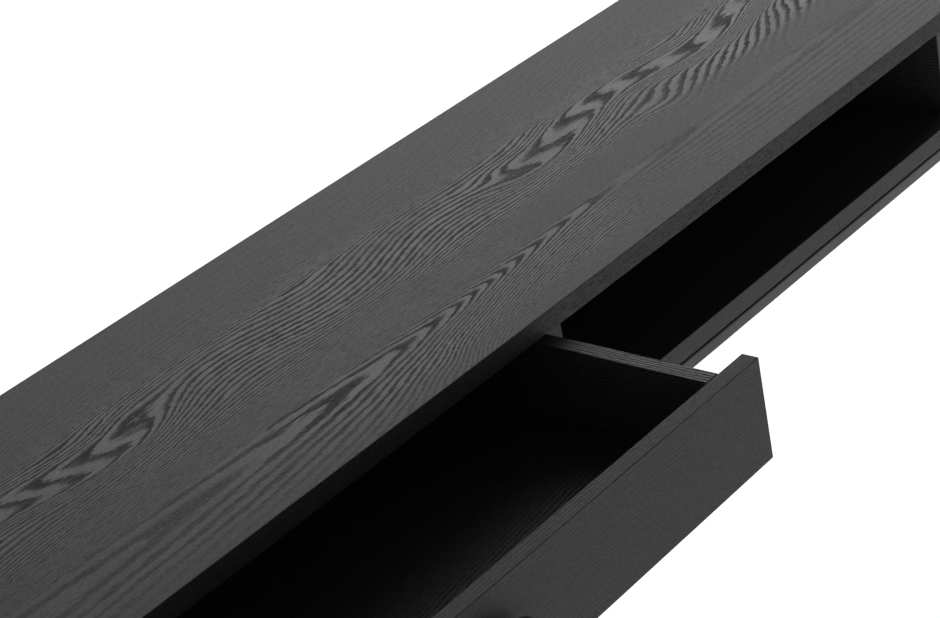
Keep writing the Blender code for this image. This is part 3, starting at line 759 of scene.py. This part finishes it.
makeKnob()
makeScrew("knob_screw", (0, -1, 0), "pan", "drawer")
for word, opens in (("left", 1), ("right", -1)):
    for end in ("front", "back"):
        makeScrew(f"frame_screw_{word}_{end}", (0, 0, 1), "pan", "case")
        makeScrew(f"upright_screw_{word}_end_{end}", (0, 0, 1), "flush", "case")
        makeScrew(f"slide_screw_{end}_{word}", (-opens, 0, 0), "slide", "case")
        makeScrew(f"drawer_screw_{end}_{word}", (opens, 0, 0), "slide", "drawer")
    makeCage(f"ball_cage_outer_{word}", opens, f"outer_cage_{word}")
    makeCage(f"ball_cage_inner_{word}", opens, f"inner_cage_{word}")
    makeMiddleChannel(word, opens)
for end in ("front", "back"):
    makeScrew(f"upright_screw_centre_{end}", (0, 0, 1), "flush", "case")
print("knob, screws, cages and middle channels done")


view = {
    "place": (-1.1663, -1.2590, 0.8238),
    "azimuth": -44.4316,
    "elevation": 27.1487,
    "roll": -12.0903,
    "lens": 87.07,
    "sensor": 36.0,
}
studio = {
    "floorSize": 40.0,
    "floorColour": (0.80, 0.80, 0.80),
    "floorRoughness": 0.9,
    "floorGlow": 0.93,
    "skyFrom": (0.80, 0.57, 0.15),
    "skyBright": 1.68,
    "skyDim": 0.03,
    "skyInside": 0.97,
    "skyOutside": 0.68,
    "rimBright": 0.34,
    "rimLow": 0.40,
    "rimHigh": 0.70,
}


def makeCamera():
    # the camera looks back along (azimuth, elevation), turned by roll about its own axis
    around = radians(view["azimuth"])
    above = radians(view["elevation"])
    turn = radians(view["roll"])
    behind = Vector((sin(around) * cos(above), -cos(around) * cos(above), sin(above)))
    level = (-behind).cross(Vector((0, 0, 1))).normalized()
    upright = level.cross(-behind)
    right = level * cos(turn) + upright * sin(turn)
    up = upright * cos(turn) - level * sin(turn)
    data = bpy.data.cameras.new("camera")
    data.sensor_width = view["sensor"]
    data.lens = view["lens"]
    camera = bpy.data.objects.new("camera", data)
    facing = Matrix((right, up, behind)).transposed().to_4x4()
    camera.matrix_world = Matrix.Translation(view["place"]) @ facing
    bpy.context.scene.collection.objects.link(camera)
    bpy.context.scene.camera = camera


def makeFloor():
    # a large pale floor under the feet, with a glow of its own
    half = studio["floorSize"] / 2
    level = cadBox[0][2]
    corners = [(-half, -half, level), (half, -half, level), (half, half, level), (-half, half, level)]
    mesh = bpy.data.meshes.new("studioFloor")
    mesh.from_pydata(corners, [], [(0, 1, 2, 3)])
    floor = bpy.data.objects.new("studioFloor", mesh)
    bpy.context.scene.collection.objects.link(floor)
    bench = Bench("floorPaint")
    bench.shader.inputs["Base Color"].default_value = (*studio["floorColour"], 1.0)
    bench.shader.inputs["Roughness"].default_value = studio["floorRoughness"]
    bench.shader.inputs["Emission Color"].default_value = (1.0, 1.0, 1.0, 1.0)
    bench.shader.inputs["Emission Strength"].default_value = studio["floorGlow"]
    mesh.materials.append(bench.material)


def softStep(tree, value, dark, bright, level):
    # smooth rise from skyDim at the dark end to level at the bright end
    node = tree.nodes.new("ShaderNodeMapRange")
    node.interpolation_type = "SMOOTHSTEP"
    tree.links.new(value, node.inputs["Value"])
    node.inputs["From Min"].default_value = min(dark, bright)
    node.inputs["From Max"].default_value = max(dark, bright)
    node.inputs["To Min"].default_value = studio["skyDim"] if dark < bright else level
    node.inputs["To Max"].default_value = level if dark < bright else studio["skyDim"]
    return node.outputs["Result"]


def makeWorld():
    # a wide soft light low behind the table, bright where a direction nears skyFrom, and a dimmer rim of
    # light all round near the horizon; overhead it is nearly dark
    world = bpy.data.worlds.new("studioAir")
    world.use_nodes = True
    tree = world.node_tree
    coords = tree.nodes.new("ShaderNodeTexCoord")
    near = tree.nodes.new("ShaderNodeVectorMath")
    near.operation = "DOT_PRODUCT"
    tree.links.new(coords.outputs["Generated"], near.inputs[0])
    near.inputs[1].default_value = Vector(studio["skyFrom"]).normalized()
    split = tree.nodes.new("ShaderNodeSeparateXYZ")
    tree.links.new(coords.outputs["Generated"], split.inputs[0])
    lobe = (studio["skyOutside"], studio["skyInside"], studio["skyBright"])
    glow = softStep(tree, near.outputs["Value"], *lobe)
    band = (studio["rimHigh"], studio["rimLow"], studio["rimBright"])
    rim = softStep(tree, split.outputs["Z"], *band)
    both = tree.nodes.new("ShaderNodeMath")
    both.operation = "ADD"
    tree.links.new(glow, both.inputs[0])
    tree.links.new(rim, both.inputs[1])
    background = tree.nodes["Background"]
    background.inputs["Color"].default_value = (1, 1, 1, 1)
    tree.links.new(both.outputs[0], background.inputs["Strength"])
    bpy.context.scene.world = world


makeCamera()
makeWorld()
makeFloor()
bpy.context.scene.view_settings.view_transform = "Standard"
print("studio done")
